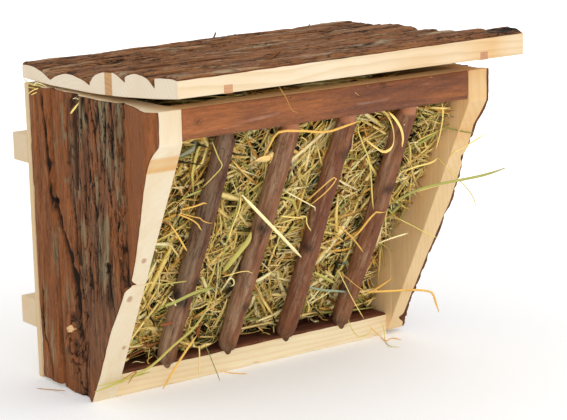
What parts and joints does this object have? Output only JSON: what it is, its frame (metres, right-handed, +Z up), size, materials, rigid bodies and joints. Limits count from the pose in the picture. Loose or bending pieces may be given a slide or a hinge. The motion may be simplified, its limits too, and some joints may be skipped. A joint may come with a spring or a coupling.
{
  "type": "hay feeder box",
  "caption": "Bark-faced wooden hay rack box with a leaning barred front, slab sides, a hinged slab lid and battens at the back for fixing to a wall or cage.",
  "frame": {"origin": "Bottom centre of the bounding box, on the surface that the box stands on.", "axes": "+X to the right along the width as seen from the front, +Y from the barred front to the wall side, +Z up."},
  "size_m": [0.2612, 0.191, 0.213],
  "materials": {
    "bark_slab": "rough bark outside, sawn pale wood inside and on the cut edges",
    "smooth_bark": "smooth red-brown bark on the front, sawn elsewhere",
    "branch_bark": "thin dark bark",
    "sawn_softwood": "sawn, unfinished",
    "cleat_hardwood": "sawn, unfinished",
    "hinge_steel": "zinc plated",
    "fastener_steel": "zinc plated",
    "hay": "loose dry stalks"
  },
  "bodies": {
    "box": {"left_side_front_slab": "bark_slab", "left_side_middle_slab": "bark_slab", "left_side_rear_slab": "bark_slab", "right_side_front_slab": "bark_slab", "right_side_middle_slab": "bark_slab", "right_side_rear_slab": "bark_slab", "top_rail": "smooth_bark", "floor_board": "bark_slab", "back_board": "sawn_softwood", "upper_batten": "sawn_softwood", "lower_batten": "sawn_softwood", "bar_1": "branch_bark", "bar_2": "branch_bark", "bar_3": "branch_bark", "bar_4": "branch_bark", "hinge_left_body_leaf": "hinge_steel", "hinge_right_body_leaf": "hinge_steel", "hinge_left_pin": "fastener_steel", "hinge_right_pin": "fastener_steel", "hinge_body_screws": "fastener_steel", "left_side_brads": "fastener_steel", "right_side_brads": "fastener_steel", "back_board_brads": "fastener_steel", "batten_screws": "fastener_steel", "hay_fill": "hay"},
    "lid": {"lid_slab_1": "bark_slab", "lid_slab_2": "bark_slab", "lid_slab_3": "bark_slab", "lid_filler_strip": "sawn_softwood", "lid_slab_4": "bark_slab", "lid_slab_5": "bark_slab", "lid_slab_6": "bark_slab", "lid_cleat_left": "cleat_hardwood", "lid_cleat_right": "cleat_hardwood", "hinge_left_lid_leaf": "hinge_steel", "hinge_right_lid_leaf": "hinge_steel", "hinge_lid_screws": "fastener_steel"}
  },
  "joints": [
    {"name": "lid_hinge", "type": "hinge", "parent": "box", "child": "lid", "pos_m": [0, 0.0795, 0.1879], "axis": [-1, 0, 0], "range_deg": [-1.4, 100]}
  ]
}
